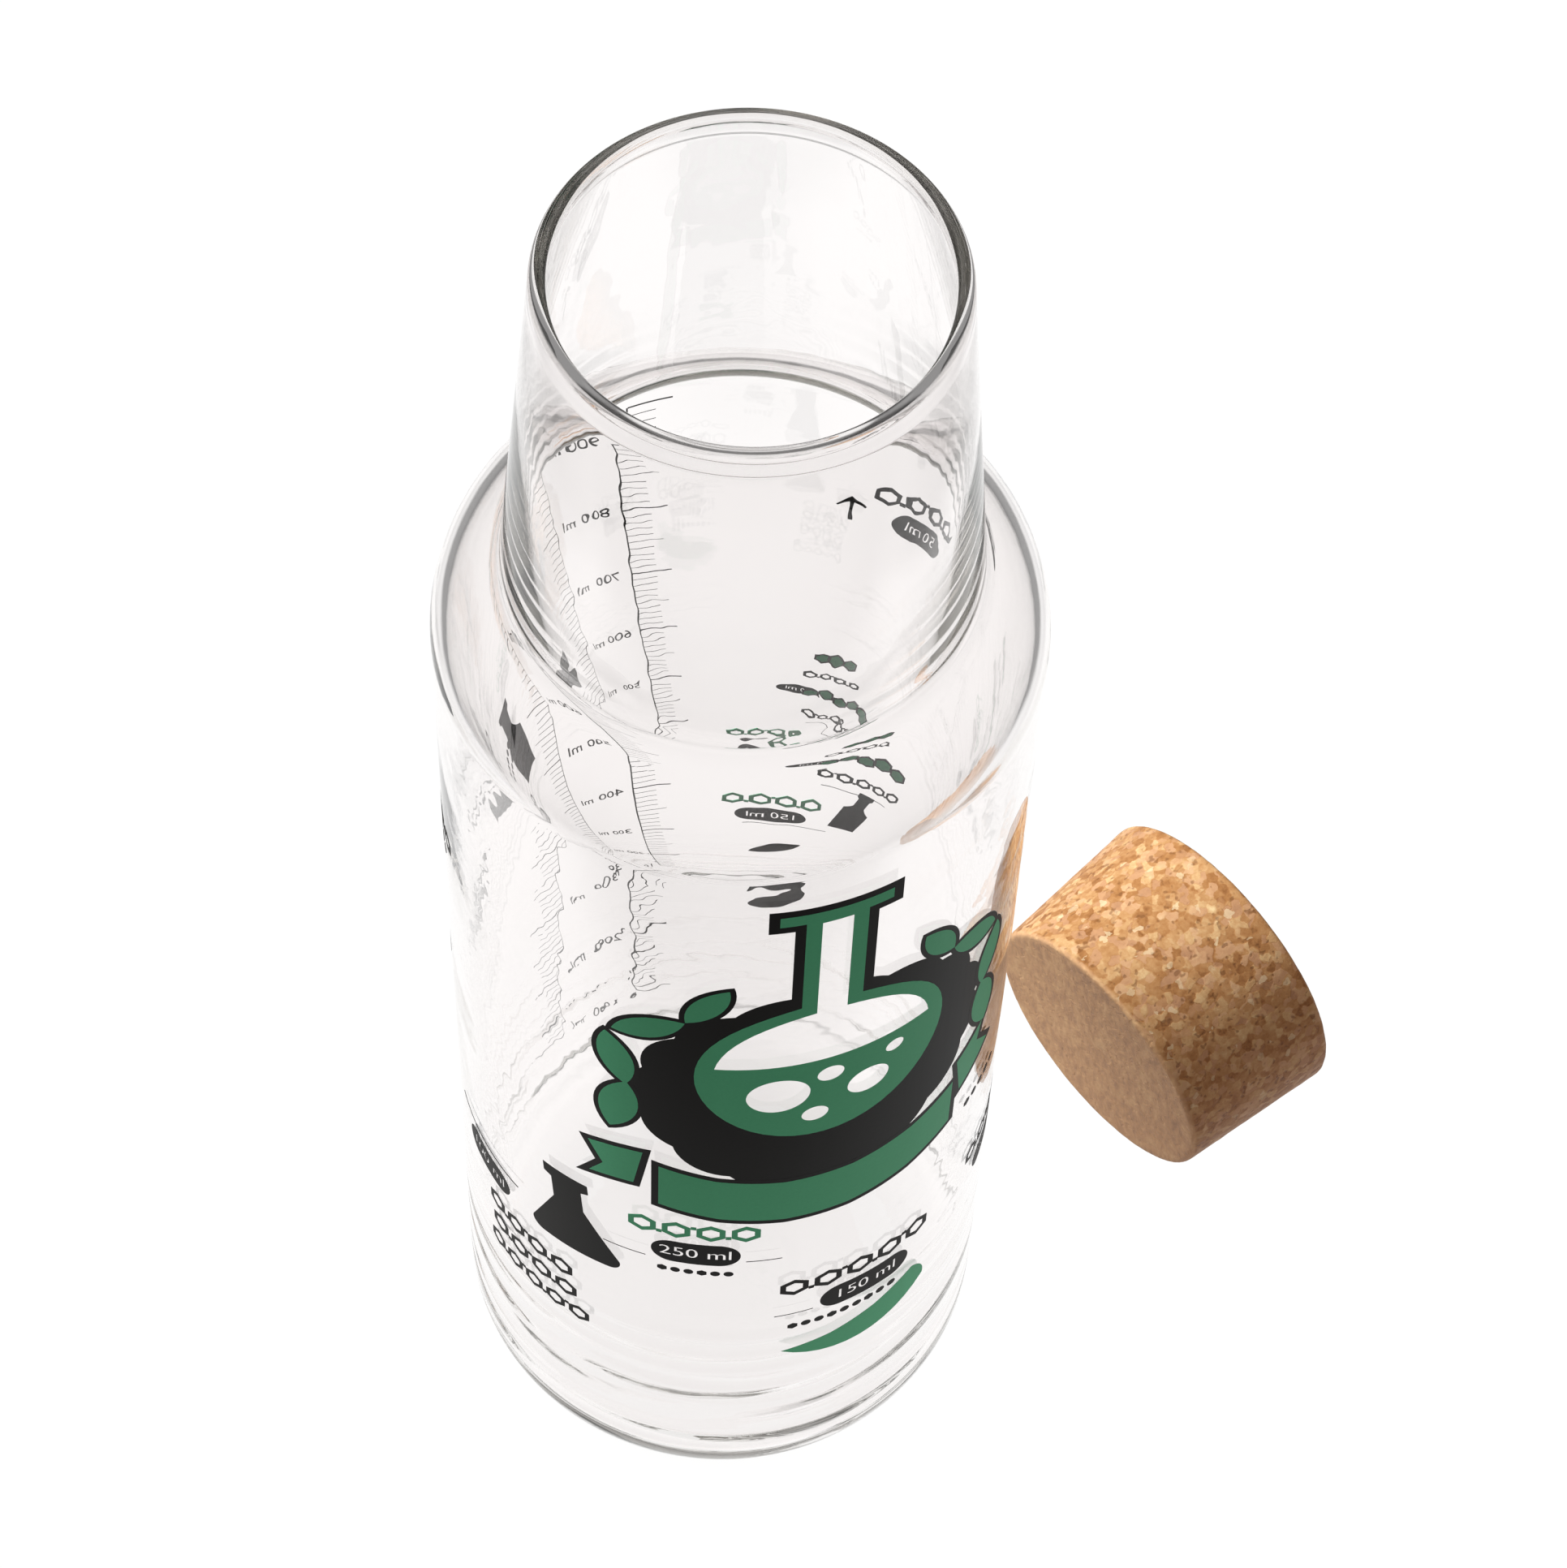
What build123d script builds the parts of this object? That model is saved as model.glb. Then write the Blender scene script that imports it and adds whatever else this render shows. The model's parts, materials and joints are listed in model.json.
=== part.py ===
from build123d import *
import os
from math import acos, asin, atan2, cos, degrees, hypot, radians, sin

# A wide-mouthed one-litre glass bottle and its tapered cork stopper.
# The stopper has been taken off and lies on its side beside the bottle.
# Millimetres and degrees. The origin is the centre of the bottle's foot, on the table.
# +Z is up, and the lying stopper is towards +X.

# Body of the bottle
body_diameter = 83.4
body_top = 191.1            # height where the straight wall turns into the shoulder
wall = 2.15
heel_radius = 11.6          # rounding between the straight wall and the foot
heel_inner_radius = 9.2
base_thickness = 3.5
base_rise = 2.3             # the middle of the base is pushed up, so only a ring touches the table
foot_ring_width = 5.8

# Shoulder and crease
shoulder_radius = 15.5
crease_radius = 3.4         # hollow rounding where the shoulder meets the neck

# Neck and mouth
glass_height = 264.8
mouth_diameter = 49.8       # bore that grips the stopper
mouth_land = 4.8            # length of the straight bore under the lip
lip_thickness = 2.3
neck_flare = 4.95           # the neck widens downwards by this angle on each side

# Stopper, tapered so that it wedges in the mouth
stopper_length = 28.6
stopper_lead = 0.75         # radial room of the small end in the mouth
stopper_grip = 1.55         # how far the large end stands out past the mouth, radially
stopper_edge = 1.0          # rounding of both edges

# Where the stopper lies
stopper_gap = 27.0          # from the bottle's side to the centre of the small end
stopper_bearing = 24.7      # direction of that centre from the bottle's axis
stopper_turn = 41.4         # direction in which its axis points, away from the bottle

body_radius = body_diameter / 2
mouth_radius = mouth_diameter / 2
lip_radius = lip_thickness / 2


def polar(centre, radius, angle):
    """A point of the profile at an angle, in radians, round a centre."""
    return (centre[0] + radius * cos(angle), centre[1] + radius * sin(angle))


def span(start, end):
    """Straight edge of the profile between two (radius, height) points."""
    return Line((start[0], 0, start[1]), (end[0], 0, end[1]))


def bend(centre, radius, start, end):
    """Arc of the profile round a centre, between two angles in radians."""
    places = [polar(centre, radius, angle) for angle in (start, (start + end) / 2, end)]
    return ThreePointArc(*[(x, 0, z) for x, z in places])


def dome(edge_radius, height, rise):
    """Shallow arc from the axis out to an edge: it is higher by the rise in the middle."""
    ball = (edge_radius**2 + rise**2) / (2 * rise)
    half_angle = asin(edge_radius / ball)
    middle = (0, height + rise - ball)
    return bend(middle, ball, radians(90), radians(90) - half_angle)


def crease_centre(shoulder_centre, lip_centre, flare):
    """Centre of the crease: outside the neck line, and outside the shoulder's arc."""
    out = (cos(flare), sin(flare))
    down = (sin(flare), -cos(flare))
    start = polar(lip_centre, lip_radius + crease_radius, flare)
    gap = (start[0] - shoulder_centre[0], start[1] - shoulder_centre[1])
    along = gap[0] * down[0] + gap[1] * down[1]
    aside = gap[0] * out[0] + gap[1] * out[1]
    reach = shoulder_radius + crease_radius
    drop = -along - (reach**2 - aside**2) ** 0.5
    return (start[0] + drop * down[0], start[1] + drop * down[1])


def glass_profile():
    """Closed half section of the glass, from the axis round the outside to the lip and back."""
    flare = radians(neck_flare)
    heel = (body_radius - heel_radius, heel_radius)
    shoulder = (body_radius - shoulder_radius, body_top)
    lip = (mouth_radius + lip_radius, glass_height - lip_radius)
    crease = crease_centre(shoulder, lip, flare)
    meet = atan2(crease[1] - shoulder[1], crease[0] - shoulder[0])

    # Outside, from the foot up to the lip
    ring_inner = heel[0] - foot_ring_width
    west = radians(180)
    south = radians(-90)
    outside = [
        dome(ring_inner, 0, base_rise),
        span((ring_inner, 0), (heel[0], 0)),
        bend(heel, heel_radius, south, 0),
        span((body_radius, heel_radius), (body_radius, body_top)),
        bend(shoulder, shoulder_radius, 0, meet),
        bend(crease, crease_radius, meet + west, flare + west),
        span(polar(crease, crease_radius, flare + west), polar(lip, lip_radius, flare)),
        bend(lip, lip_radius, flare, west),
    ]

    # Inside, from the lip down to the floor: the neck's line touches the crease's wider arc
    inner_crease = crease_radius + wall
    land_foot = (mouth_radius, lip[1] - mouth_land)
    away = hypot(crease[0] - land_foot[0], crease[1] - land_foot[1])
    towards = atan2(land_foot[1] - crease[1], land_foot[0] - crease[0])
    touch = towards + acos(inner_crease / away)
    inner_radius = body_radius - wall
    inner_heel = (inner_radius - heel_inner_radius, base_thickness + heel_inner_radius)
    inside = [
        span((mouth_radius, lip[1]), land_foot),
        span(land_foot, polar(crease, inner_crease, touch)),
        bend(crease, inner_crease, touch, meet + west),
        bend(shoulder, shoulder_radius - wall, meet, 0),
        span((inner_radius, body_top), (inner_radius, inner_heel[1])),
        bend(inner_heel, heel_inner_radius, 0, south),
        dome(inner_heel[0], base_thickness, base_rise),
        span((0, base_thickness + base_rise), (0, base_rise)),
    ]
    return make_face(outside + inside)


def glass_bottle():
    """One blown piece of clear glass, turned from its half section."""
    return revolve(glass_profile(), Axis.Z)


def cork_stopper():
    """A truncated cone of pressed cork, standing on its small end."""
    small = mouth_radius - stopper_lead
    large = mouth_radius + stopper_grip
    side = Polyline((0, 0, 0), (small, 0, 0), (large, 0, stopper_length), (0, 0, stopper_length), close=True)
    blank = revolve(make_face(side), Axis.Z)
    return fillet(blank.edges().filter_by(GeomType.CIRCLE), stopper_edge)


def laid_down(stopper):
    """The stopper on its side: its taper tips the axis up, so that a whole side line rests on the table."""
    small = mouth_radius - stopper_lead
    tip = atan2(stopper_lead + stopper_grip, stopper_length)
    reach = body_radius + stopper_gap
    bearing = radians(stopper_bearing)
    turn = radians(stopper_turn)
    place = Plane(
        origin=(reach * cos(bearing), reach * sin(bearing), small * cos(tip)),
        x_dir=(sin(turn), -cos(turn), 0),
        z_dir=(cos(tip) * cos(turn), cos(tip) * sin(turn), sin(tip)),
    )
    return place * stopper


parts = {
    "glass_bottle": glass_bottle(),
    "cork_stopper": laid_down(cork_stopper()),
}

os.makedirs("parts", exist_ok=True)
for name, part in parts.items():
    export_step(part, f"parts/{name}.step")
    box = part.bounding_box()
    print(name, round(part.volume / 1000, 2), "cm3", box.min, box.max)
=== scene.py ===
# %% [markdown]
# A glass bottle with a wide mouth, and the cork stopper that was taken out of it.
# The real things are two pieces: one blown shell of clear glass, and one plug of pressed cork granules.
# The picture on the glass is ink that was screen printed on its outside and fired.
# Each piece is modelled at its real size, in metres, around the imported model.
# So the first step is to load that model before anything is added, with a helper that reads a part's box.

# %% Load the imported model
import json
from math import acos, atan2, cos, degrees, pi, radians, sin, tan

import bpy
from mathutils import Matrix, Vector


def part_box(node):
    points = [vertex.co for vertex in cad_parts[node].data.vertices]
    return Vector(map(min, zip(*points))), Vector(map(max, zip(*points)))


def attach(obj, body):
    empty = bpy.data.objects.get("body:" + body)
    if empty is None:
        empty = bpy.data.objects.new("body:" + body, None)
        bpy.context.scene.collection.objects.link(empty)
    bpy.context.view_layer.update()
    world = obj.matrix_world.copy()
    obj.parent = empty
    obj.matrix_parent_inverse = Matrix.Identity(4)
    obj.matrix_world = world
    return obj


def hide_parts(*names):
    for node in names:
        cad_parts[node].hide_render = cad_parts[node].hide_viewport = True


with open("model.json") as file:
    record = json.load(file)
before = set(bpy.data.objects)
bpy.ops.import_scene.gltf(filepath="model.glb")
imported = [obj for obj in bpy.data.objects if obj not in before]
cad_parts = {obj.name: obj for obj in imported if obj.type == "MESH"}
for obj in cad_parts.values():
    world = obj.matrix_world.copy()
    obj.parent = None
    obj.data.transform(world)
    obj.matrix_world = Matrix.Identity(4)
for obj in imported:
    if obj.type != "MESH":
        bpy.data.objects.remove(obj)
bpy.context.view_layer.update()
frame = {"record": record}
mm = 0.001

# %% [markdown]
# The camera looks down at the bottle from about 58 degrees above the table, through a long lens.
# It comes first.
# A camera looks along its own -Z axis, so its matrix is built from three directions:
# one to the right of the picture, one up, and one back towards the viewer.

# %% Camera
camera_place = Vector((0, -345.956, 699.113)) * mm
camera_turn = radians(1.1316)
camera_tilt = radians(57.772)
camera_roll = radians(2.858)
lens_length = 104.976

ahead = Vector((
    sin(camera_turn) * cos(camera_tilt),
    cos(camera_turn) * cos(camera_tilt),
    -sin(camera_tilt),
))
level = Vector((cos(camera_turn), -sin(camera_turn), 0))
right = cos(camera_roll) * level + sin(camera_roll) * level.cross(ahead)
up = right.cross(ahead)
camera_data = bpy.data.cameras.new("camera")
camera_data.lens = lens_length
camera = bpy.data.objects.new("camera", camera_data)
bpy.context.scene.collection.objects.link(camera)
camera.matrix_world = Matrix.Translation(camera_place) @ Matrix((right, up, -ahead)).transposed().to_4x4()
bpy.context.scene.camera = camera
print("camera is", round(camera_place.length / mm), "mm from the foot of the bottle")

# %% [markdown]
# Clear glass has no colour of its own, so it shows only what is behind it and around it.
# Studio pictures of glass put it on a glowing pale table, the bright field,
# and keep the room darker, so that the curved edges bend dark lines into the picture.
# Both are made with shader nodes, so this is the place for a small helper.
# Wire holds one output of a node, and lets shader maths be written as plain Python.
# Board adds any other node in one call: its settings first, then the values or wires of its sockets.
# The three nodes that are needed most, a noise, a soft step and a blend, have short calls of their own.

# %% A helper for nodes
class Wire:
    """One output socket. A sum, difference or product with it makes the Math node for that."""

    def __init__(self, board, socket):
        self.board = board
        self.socket = socket

    def sum_up(self, operation, first, second):
        return self.board.add("ShaderNodeMath", {"operation": operation}, {0: first, 1: second})

    def __add__(self, other):
        return self.sum_up("ADD", self, other)

    def __radd__(self, other):
        return self.sum_up("ADD", other, self)

    def __sub__(self, other):
        return self.sum_up("SUBTRACT", self, other)

    def __rsub__(self, other):
        return self.sum_up("SUBTRACT", other, self)

    def __mul__(self, other):
        return self.sum_up("MULTIPLY", self, other)

    def __rmul__(self, other):
        return self.sum_up("MULTIPLY", other, self)


class Board:
    """The nodes of one material or of the world."""

    def __init__(self, owner):
        owner.use_nodes = True
        self.tree = owner.node_tree
        self.tree.nodes.clear()

    def add(self, kind, settings=None, values=None, output=0):
        """Add a node: its settings first, then the values or wires of its sockets."""
        node = self.tree.nodes.new(kind)
        for name, value in (settings or {}).items():
            if name == "stops":
                set_stops(node.color_ramp, value)
            else:
                setattr(node, name, value)
        for name, value in (values or {}).items():
            if isinstance(value, Wire):
                self.tree.links.new(value.socket, node.inputs[name])
            else:
                node.inputs[name].default_value = value
        return Wire(self, node.outputs[output]) if node.outputs else None

    def noise(self, vector, scale, detail=2, roughness=0.5, output=0):
        """Smooth noise with so many spots to a metre, and finer ones on them by the detail."""
        return self.add("ShaderNodeTexNoise", values={
            "Vector": vector, "Scale": scale, "Detail": detail, "Roughness": roughness}, output=output)

    def soft_step(self, value, low, high):
        """Turn the span from low to high into a soft step from 0 to 1."""
        return self.add("ShaderNodeMapRange", {"interpolation_type": "SMOOTHSTEP"}, {
            "Value": value, "From Min": low, "From Max": high})

    def blend(self, factor, first, second):
        """Mix two colours, given as wires or as plain values."""
        return self.add("ShaderNodeMix", {"data_type": "RGBA"}, {
            "Factor": factor, 6: first, 7: second}, output=2)


def set_stops(ramp, stops):
    """Give a colour ramp these (position, colour) stops."""
    while len(ramp.elements) < len(stops):
        ramp.elements.new(1)
    for element, (position, colour) in zip(ramp.elements, stops):
        element.position = position
        element.color = (*colour, 1)


print("nodes are added with Board.add, and sums on a Wire add Math nodes")

# %% [markdown]
# The room is the world, and its colour depends only on how high a direction points:
# it runs from a dim horizon to a brighter ceiling. The dim horizon draws the dark edges of the glass.
# In a room as bright as the table the bottle would all but vanish.

# %% The room
horizon = (0.08, 0.079, 0.078)
halfway = (0.38, 0.375, 0.37)
halfway_up = 0.45
ceiling = (0.5, 0.494, 0.488)
world = bpy.data.worlds.new("room")
bpy.context.scene.world = world
board = Board(world)
direction = board.add("ShaderNodeTexCoord", output="Generated")
height = board.add("ShaderNodeSeparateXYZ", values={0: direction}, output="Z")
stops = [(0, horizon), (halfway_up, halfway), (1, ceiling)]
tone = board.add("ShaderNodeValToRGB", {"stops": stops}, {0: height})
light = board.add("ShaderNodeBackground", values={"Color": tone, "Strength": 1.0})
board.add("ShaderNodeOutputWorld", values={"Surface": light})
bpy.context.scene.view_settings.view_transform = "Standard"
print("room made with", len(world.node_tree.nodes), "nodes")

# %% [markdown]
# Light that enters the lip runs down inside the wall, mirrored from side to side many times.
# A path that is cut short shows as black, so the paths may have many more turns than they have by default.

# %% Long light paths
many_turns = 64
bpy.context.scene.cycles.max_bounces = many_turns
bpy.context.scene.cycles.glossy_bounces = many_turns
bpy.context.scene.cycles.transmission_bounces = many_turns
print("light may turn", many_turns, "times")

# %% [markdown]
# The table is a sheet of pale acrylic that glows from below. A plane is enough for it.
# Its glow fades out in front of the bottle, where a studio's table ends. Upright walls mirror that part,
# and the prints on them stay deep in colour because it is dim. Under the bottle its glow is a little dimmer
# too:
# this is a painted shadow of the bottle, laid into the table's glow.
# The table is part of the stage and not of the object.

# %% Light table
table_size = 4.0
fade_end = -0.145
fade_start = -0.066
dim_glow = (0.13, 0.128, 0.126)
full_glow = (1.0, 0.997, 0.994)
painted_shadow_radius = 0.044
painted_shadow_core = 0.6 * painted_shadow_radius
bpy.ops.object.select_all(action="DESELECT")
bpy.ops.mesh.primitive_plane_add(size=table_size)
table = bpy.context.object
table.name = "light_table"
pale = bpy.data.materials.new("pale_acrylic")
board = Board(pale)
place = board.add("ShaderNodeTexCoord", output="Object")
depth = board.add("ShaderNodeSeparateXYZ", values={0: place}, output="Y")
fade = board.soft_step(depth, fade_end, fade_start)
glow = board.add("ShaderNodeValToRGB", {"stops": [(0, dim_glow), (1, full_glow)]}, {0: fade})
reach = board.add("ShaderNodeVectorMath", {"operation": "LENGTH"}, {0: place}, output="Value")
# Painted shadow of the bottle: the glow is dimmed under its foot and fades back to full just beyond it.
shaded = board.soft_step(reach, painted_shadow_radius, painted_shadow_core)
print("light table is", table_size, "m wide")

# %% [markdown]
# A studio's sheet ends a little beyond the picture, and often has black cards beside it.
# The curved edges of the glass then find something darker to show, as grey bands along its sides.
# Here the sheet's edge is an oval round the bottle. The camera's own rays see a round sheet, wide enough
# to leave the picture's background white. All other rays, bent or mirrored by the glass, see one that is
# squeezed from the sides, as if cards stood there. Light Path tells the two apart, and also the rays
# of matte things: they get only a part of the glow, so that the cork keeps a shaded side.

# %% Edge of the glowing sheet
sheet_glow = 1.03
sheet_radius = 0.36
sheet_end = 0.46
sheet_squeeze = (1.8, 0.8, 1)
painted_shadow_loss = 0.11
sheet_loss = 0.72
matte_loss = 0.6
squeezed = board.add("ShaderNodeVectorMath", {"operation": "MULTIPLY"}, {0: place, 1: sheet_squeeze})
bent = board.add("ShaderNodeVectorMath", {"operation": "LENGTH"}, {0: squeezed}, output="Value")
straight = board.add("ShaderNodeLightPath", output="Is Camera Ray")
beyond = board.soft_step(bent + straight * (reach - bent), sheet_radius, sheet_end)
matte = board.add("ShaderNodeLightPath", output="Is Diffuse Ray")
# The painted shadow under the bottle takes its share off the glow here, for every kind of ray.
strength = (1 - shaded * painted_shadow_loss - beyond * sheet_loss) * (1 - matte * matte_loss)
glow = board.add("ShaderNodeVectorMath", {"operation": "SCALE"}, {0: glow, "Scale": strength})
shader = board.add("ShaderNodeBsdfPrincipled", values={
    "Base Color": (0, 0, 0, 1),
    "Roughness": 0.9,
    "Specular IOR Level": 0.0,
    "Emission Color": glow,
    "Emission Strength": sheet_glow,
})
board.add("ShaderNodeOutputMaterial", values={"Surface": shader})
table.data.materials.append(pale)
print("table glows with", len(pale.node_tree.nodes), "nodes")

# %% [markdown]
# One large soft lamp stands at the back left, above the table, and gives the cork its bright side.
# It is a little cool, against the warmth that light picks up between the table and the cork.
# The glass neither mirrors it nor shows it: through the shoulder it would be a hard white patch.

# %% Lamp
lamp_place = Vector((-0.62, 0.38, 0.78))
lamp_size = 0.6
lamp_power = 26
lamp_colour = (0.84, 1.0, 1.05)
lamp_data = bpy.data.lights.new("soft_lamp", "AREA")
lamp_data.size = lamp_size
lamp_data.energy = lamp_power
lamp_data.color = lamp_colour
lamp = bpy.data.objects.new("soft_lamp", lamp_data)
bpy.context.scene.collection.objects.link(lamp)
lamp.visible_glossy = False
lamp.visible_transmission = False
lamp.matrix_world = Matrix.Translation(lamp_place) @ lamp_place.to_track_quat("Z", "Y").to_matrix().to_4x4()
print("lamp shines from", [round(x, 2) for x in lamp_place])

# %% [markdown]
# The glass is a shell of revolution, so it is drawn as half of its section and spun round the axis.
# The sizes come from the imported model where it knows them: its box and the mouth where the stopper fits.
# The rest are the wall and the roundings of the glass, in the same figures as its solid. Only the straight
# bore under the lip is shorter here, because the inside of the neck is drawn more closely to the picture.

# %% Sizes of the glass
glass_low, glass_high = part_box("glass_bottle")
mouth = next(mount for mount in frame["record"]["mounts"] if mount["name"] == "mouth")
body_radius = glass_high.x
glass_height = glass_high.z
mouth_radius = mouth["dims"]["r_mm"] * mm
mouth_land = 0.7 * mm
body_top = 191.1 * mm
wall = 2.15 * mm
heel_radius = 11.6 * mm
heel_inner_radius = 9.2 * mm
base_thickness = 3.5 * mm
base_rise = 2.3 * mm
foot_ring_width = 5.8 * mm
shoulder_radius = 15.5 * mm
crease_radius = 3.4 * mm
lip_radius = 1.15 * mm
neck_flare = radians(4.95)
print("glass is", round(glass_height / mm, 1), "mm tall and", round(2 * body_radius / mm, 1), "mm across")

# %% [markdown]
# An outline is drawn as with a pencil that is never lifted.
# A plane is merged to one point, and that point is extruded along straight runs and spun along arcs.
# The same pencil draws the flat prints later on, so it is a small class.

# %% A pencil for outlines
weld = 0.01 * mm
coarsest_step = radians(7)
fewest_steps = 3
sharp_edge = radians(50)


class Outline:
    """A line of points in the XZ plane, drawn onwards from its last point, in metres."""

    def __init__(self, name, x, z):
        bpy.ops.object.select_all(action="DESELECT")
        bpy.ops.mesh.primitive_plane_add(size=mm)
        self.piece = bpy.context.object
        self.piece.name = name
        self.piece.data.name = name
        self.x = x
        self.z = z
        bpy.ops.object.mode_set(mode="EDIT")
        bpy.ops.mesh.select_all(action="SELECT")
        bpy.ops.mesh.merge(type="CENTER")
        bpy.ops.transform.translate(value=(x, 0, z))

    def line(self, x, z, steps=1):
        """Extrude the last point in a straight line to (x, z)."""
        step = ((x - self.x) / steps, 0, (z - self.z) / steps)
        for _ in range(steps):
            bpy.ops.mesh.extrude_vertices_move(TRANSFORM_OT_translate={"value": step})
        self.x = x
        self.z = z

    def arc(self, centre, angle, steps):
        """Spin the last point round a centre, anticlockwise when the angle is positive."""
        bpy.ops.mesh.spin(steps=steps, angle=angle, center=(centre[0], 0, centre[1]), axis=(0, 1, 0),
                          use_auto_merge=False)
        x = self.x - centre[0]
        z = self.z - centre[1]
        self.x = centre[0] + x * cos(angle) - z * sin(angle)
        self.z = centre[1] + x * sin(angle) + z * cos(angle)

    def bow(self, place, angle):
        """Draw an arc to a place, turning left by this angle on the way, or a line where it is nothing."""
        if not angle:
            self.line(*place)
            return
        chord = Vector((place[0] - self.x, place[1] - self.z))
        rise = 0.5 / tan(angle / 2)
        centre = (self.x + chord.x / 2 - chord.y * rise, self.z + chord.y / 2 + chord.x * rise)
        self.arc(centre, angle, max(fewest_steps, round(abs(angle) / coarsest_step)))

    def turn(self, segments):
        """Spin the whole outline round the Z axis, and close its seam and its poles."""
        bpy.ops.mesh.select_all(action="SELECT")
        bpy.ops.mesh.spin(steps=segments, angle=2 * pi, center=(0, 0, 0), axis=(0, 0, 1))
        bpy.ops.mesh.select_all(action="SELECT")
        bpy.ops.mesh.remove_doubles(threshold=weld)
        bpy.ops.mesh.normals_make_consistent(inside=False)
        bpy.ops.object.mode_set(mode="OBJECT")
        bpy.ops.object.shade_smooth_by_angle(angle=sharp_edge)
        return self.piece


def round_from(centre, radius, angle):
    """The point at an angle on a circle of the section."""
    return (centre[0] + radius * cos(angle), centre[1] + radius * sin(angle))


print("the pencil takes at least", fewest_steps, "steps for an arc")

# %% [markdown]
# The hollow crease between the shoulder and the neck touches both the shoulder's arc and the neck's line.
# Its centre is therefore one crease radius outside each of them, which a little geometry finds.

# %% Centre of the crease
heel = (body_radius - heel_radius, heel_radius)
shoulder = (body_radius - shoulder_radius, body_top)
lip = (mouth_radius + lip_radius, glass_height - lip_radius)
out = (cos(neck_flare), sin(neck_flare))
down = (sin(neck_flare), -cos(neck_flare))
start = round_from(lip, lip_radius + crease_radius, neck_flare)
gap = (start[0] - shoulder[0], start[1] - shoulder[1])
aside = gap[0] * out[0] + gap[1] * out[1]
along = gap[0] * down[0] + gap[1] * down[1]
drop = -along - ((shoulder_radius + crease_radius) ** 2 - aside**2) ** 0.5
crease = (start[0] + drop * down[0], start[1] + drop * down[1])
meet = atan2(crease[1] - shoulder[1], crease[0] - shoulder[0])
print("crease is at radius", round(crease[0] / mm, 2), "and height", round(crease[1] / mm, 2))

# %% [markdown]
# Blown glass is thin in a neck, and gathers in the lip and in the crease. The picture shows this too:
# the numbers on the back wall crowd together behind the lower neck, as behind a wedge.
# So the inside of the neck leaves the lip in an S, runs beside the outside, and bends towards the crease.
# Each arc starts where the last one ends and in the same direction, so no edge shows in the refraction.

# %% Inside of the neck
inner_radius = body_radius - wall
inner_heel = (inner_radius - heel_inner_radius, base_thickness + heel_inner_radius)
land_foot = (mouth_radius, lip[1] - mouth_land)
inner_crease = crease_radius + wall
low_slope = radians(0.5)
high_slope = radians(7.2)
bend_reach = 24.5 * mm
bend_foot = round_from(crease, inner_crease, pi + low_slope)
bend_tip = (bend_foot[0] - bend_reach * sin(low_slope), bend_foot[1] + bend_reach * cos(low_slope))
bend_head = (bend_tip[0] - bend_reach * sin(high_slope), bend_tip[1] + bend_reach * cos(high_slope))
bend_radius = bend_reach / tan((high_slope - low_slope) / 2)
bend_centre = round_from(bend_head, bend_radius, pi + high_slope)
swerve = 2.6 * mm
rise = land_foot[1] + swerve * sin(high_slope) - bend_head[1]
offset = land_foot[0] + swerve * (1 + cos(high_slope)) + rise * tan(high_slope) - bend_head[0]
swerve_turn = acos(offset * cos(high_slope) / (2 * swerve)) + high_slope
swerve_out = (land_foot[0] + swerve, land_foot[1])
swerve_back = round_from(swerve_out, 2 * swerve, pi + swerve_turn)
print("inside of the neck swerves by", round(degrees(swerve_turn), 1), "degrees under the lip")

# %% [markdown]
# Now the pencil goes once round the section: from the middle of the base out to the foot,
# up the outside, over the lip and down the inside again, back to the axis. Spinning that line gives
# a closed shell. The long walls get many rows of faces, because thin slivers would shade badly.

# %% Draw and spin the glass
def dome(pencil, radius, height, steps):
    """Draw the base's low dome between its edge and its middle, whichever of the two comes next."""
    ball = (radius**2 + base_rise**2) / (2 * base_rise)
    half = atan2(radius, ball - base_rise)
    outwards = pencil.x < radius / 2
    pencil.arc((0, height + base_rise - ball), -half if outwards else half, steps)


ring_inner = heel[0] - foot_ring_width
pencil = Outline("bottle_glass", 0, base_rise)
dome(pencil, ring_inner, 0, steps=14)
pencil.line(heel[0], 0, steps=4)
pencil.arc(heel, pi / 2, steps=18)
pencil.line(body_radius, body_top, steps=60)
pencil.arc(shoulder, meet, steps=18)
pencil.arc(crease, neck_flare - meet, steps=10)
pencil.line(*round_from(lip, lip_radius, neck_flare), steps=20)
pencil.arc(lip, pi - neck_flare, steps=16)
pencil.line(*land_foot, steps=3)
pencil.arc(swerve_out, swerve_turn, steps=8)
pencil.arc(swerve_back, high_slope - swerve_turn, steps=8)
pencil.line(*bend_head, steps=2)
pencil.arc(bend_centre, low_slope - high_slope, steps=24)
pencil.arc(crease, meet - low_slope, steps=14)
pencil.arc(shoulder, -meet, steps=18)
pencil.line(inner_radius, inner_heel[1], steps=60)
pencil.arc(inner_heel, -pi / 2, steps=16)
dome(pencil, inner_heel[0], base_thickness, steps=14)
glass = pencil.turn(segments=224)
print("glass has", len(glass.data.polygons), "faces")

# %% [markdown]
# Clear glass is one shader with full transmission. Its index of refraction, 1.47, is that of hard
# kitchen glass. Blown walls are never quite even, and it is this that makes the lines behind them waver.
# Three noises are added up as a height in mm: long swells, short ones, and rings round the lower body,
# where the soft glass was pressed into the mould. The rings are a noise that is flattened along the axis,
# so they come out broken and uneven, and they fade out towards the middle of the body.

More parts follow.
